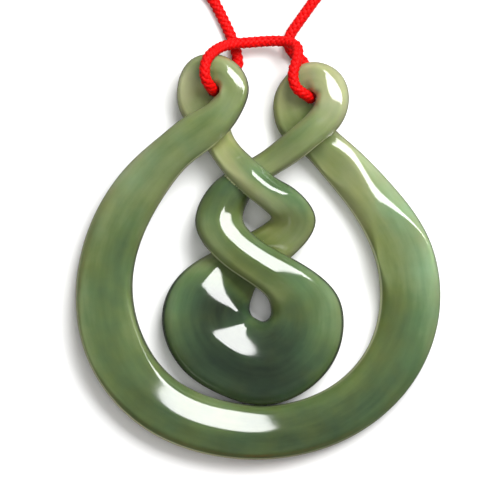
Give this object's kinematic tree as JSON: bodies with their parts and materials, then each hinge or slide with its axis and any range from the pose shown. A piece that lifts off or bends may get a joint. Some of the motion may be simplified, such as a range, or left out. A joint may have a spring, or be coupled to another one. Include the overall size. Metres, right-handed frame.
{
  "type": "pikorua twist pendant",
  "caption": "Polished greenstone twist pendant: a closed strand with cord eyes, an outer ring, a middle twist and a lower disc, on a red braided neck cord.",
  "frame": {"origin": "under the middle of the stone's outline, on the surface that its flat back rests on", "axes": "+X to the right of the stone's front, +Y towards the cord eyes, +Z out of the front"},
  "size_m": [0.1017, 0.1025, 0.0113],
  "materials": {
    "polished_jade": "polished, slightly translucent nephrite",
    "red_braid": "braided nylon with a soft sheen"
  },
  "bodies": {
    "root": {"jade_twist": "polished_jade", "neck_cord": "red_braid", "closing_knot": "red_braid"}
  },
  "joints": []
}
